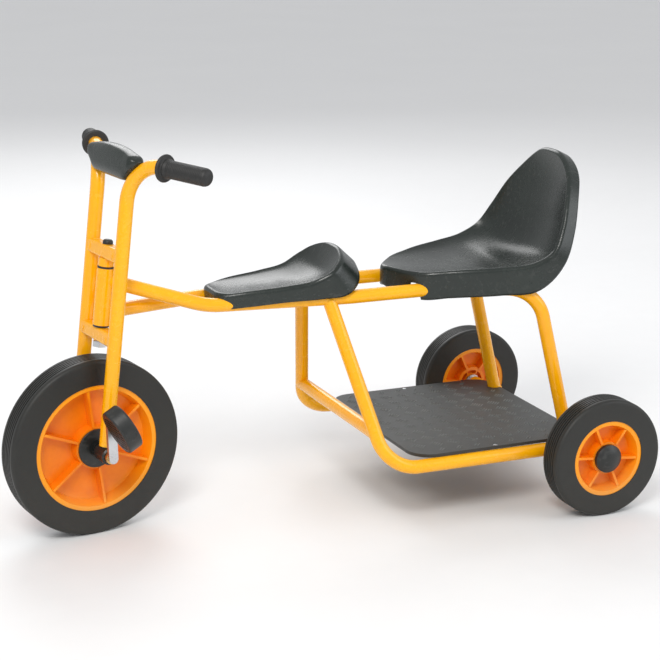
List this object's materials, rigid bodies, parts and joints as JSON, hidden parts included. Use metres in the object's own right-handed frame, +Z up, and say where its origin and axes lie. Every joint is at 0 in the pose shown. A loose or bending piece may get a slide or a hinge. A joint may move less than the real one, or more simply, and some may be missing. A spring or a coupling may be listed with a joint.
{
  "type": "tandem tricycle",
  "caption": "Child's pedal tricycle: front-wheel drive, rider's saddle, rear passenger bucket seat, low foot platform and two rear wheels.",
  "frame": {"origin": "on the ground, under the middle of the overall length and width", "axes": "-X to the front of the vehicle, -Y to the rider's left, +Z up; the handlebar is turned 9 degrees to the left at rest"},
  "size_m": [1.157, 0.591, 0.6928],
  "materials": {
    "frame": "glossy yellow powder coat",
    "rim": "moulded orange plastic",
    "tyre": "solid black rubber, grooved tread",
    "grip": "ribbed black rubber",
    "seat": "fine-grained black moulding",
    "black_plastic": "black moulding",
    "bush_plastic": "plain bearing plastic",
    "brass": "turned",
    "zinc": "bright zinc plate"
  },
  "bodies": {
    "frame": {"head_tube": "frame", "left_main_rail": "frame", "right_main_rail": "frame", "left_lower_rail": "frame", "right_lower_rail": "frame", "platform_cross_tube": "frame", "rear_axle_tube": "frame", "rear_axle_collars": "frame", "rear_axle": "zinc", "rear_axle_washers": "zinc", "rear_axle_nuts": "zinc", "platform_board": "black_plastic", "platform_screws": "zinc", "saddle": "seat", "passenger_seat": "seat", "seat_spacers": "bush_plastic", "seat_screws": "zinc", "upper_head_bush": "bush_plastic", "lower_head_bush": "bush_plastic", "saddle_strap_front": "frame", "saddle_strap_rear": "frame", "seat_strap_front": "frame", "seat_strap_rear": "frame"},
    "fork": {"upper_crown": "frame", "lower_crown": "frame", "crown_collar": "frame", "steering_pin": "zinc", "steering_pin_cap": "black_plastic", "steering_pin_nut": "zinc", "handlebar_pad": "black_plastic", "left_fork_tube": "frame", "left_grip": "grip", "left_axle_bearing": "black_plastic", "right_fork_tube": "frame", "right_grip": "grip", "right_axle_bearing": "black_plastic"},
    "front_wheel": {"front_tyre": "tyre", "front_rim": "rim", "front_axle": "zinc", "left_thrust_ring": "brass", "left_hub_flange": "black_plastic", "left_crank_arm": "zinc", "left_pedal_spindle": "zinc", "right_thrust_ring": "brass", "right_hub_flange": "black_plastic", "right_crank_arm": "zinc", "right_pedal_spindle": "zinc"},
    "left_pedal": {"left_pedal_block": "black_plastic", "left_pedal_plug": "black_plastic"},
    "rear_left_wheel": {"rear_left_tyre": "tyre", "rear_left_rim": "rim", "rear_left_wheel_bushes": "bush_plastic", "rear_left_hub_cap": "black_plastic"},
    "right_pedal": {"right_pedal_block": "black_plastic", "right_pedal_plug": "black_plastic"},
    "rear_right_wheel": {"rear_right_tyre": "tyre", "rear_right_rim": "rim", "rear_right_wheel_bushes": "bush_plastic", "rear_right_hub_cap": "black_plastic"}
  },
  "joints": [
    {"name": "steering", "type": "hinge", "parent": "frame", "child": "fork", "pos_m": [-0.38958, 0, 0.42582], "axis": [0.1045, 0, 0.9945], "range_deg": [-54, 36]},
    {"name": "front_wheel_spin", "type": "hinge", "parent": "fork", "child": "front_wheel", "pos_m": [-0.41749, 0, 0.16028], "axis": [-0.1556, 0.9877, 0.0164], "continuous": true},
    {"name": "left_pedal_spin", "type": "hinge", "parent": "front_wheel", "child": "left_pedal", "pos_m": [-0.40057, -0.13085, 0.22604], "axis": [-0.1556, 0.9877, 0.0164], "continuous": true},
    {"name": "right_pedal_spin", "type": "hinge", "parent": "front_wheel", "child": "right_pedal", "pos_m": [-0.43441, 0.13085, 0.09453], "axis": [-0.1556, 0.9877, 0.0164], "continuous": true},
    {"name": "rear_left_wheel_spin", "type": "hinge", "parent": "frame", "child": "rear_left_wheel", "pos_m": [0.46851, -0.26, 0.11], "axis": [0, 1, 0], "continuous": true},
    {"name": "rear_right_wheel_spin", "type": "hinge", "parent": "frame", "child": "rear_right_wheel", "pos_m": [0.46851, 0.26, 0.11], "axis": [0, 1, 0], "continuous": true}
  ]
}
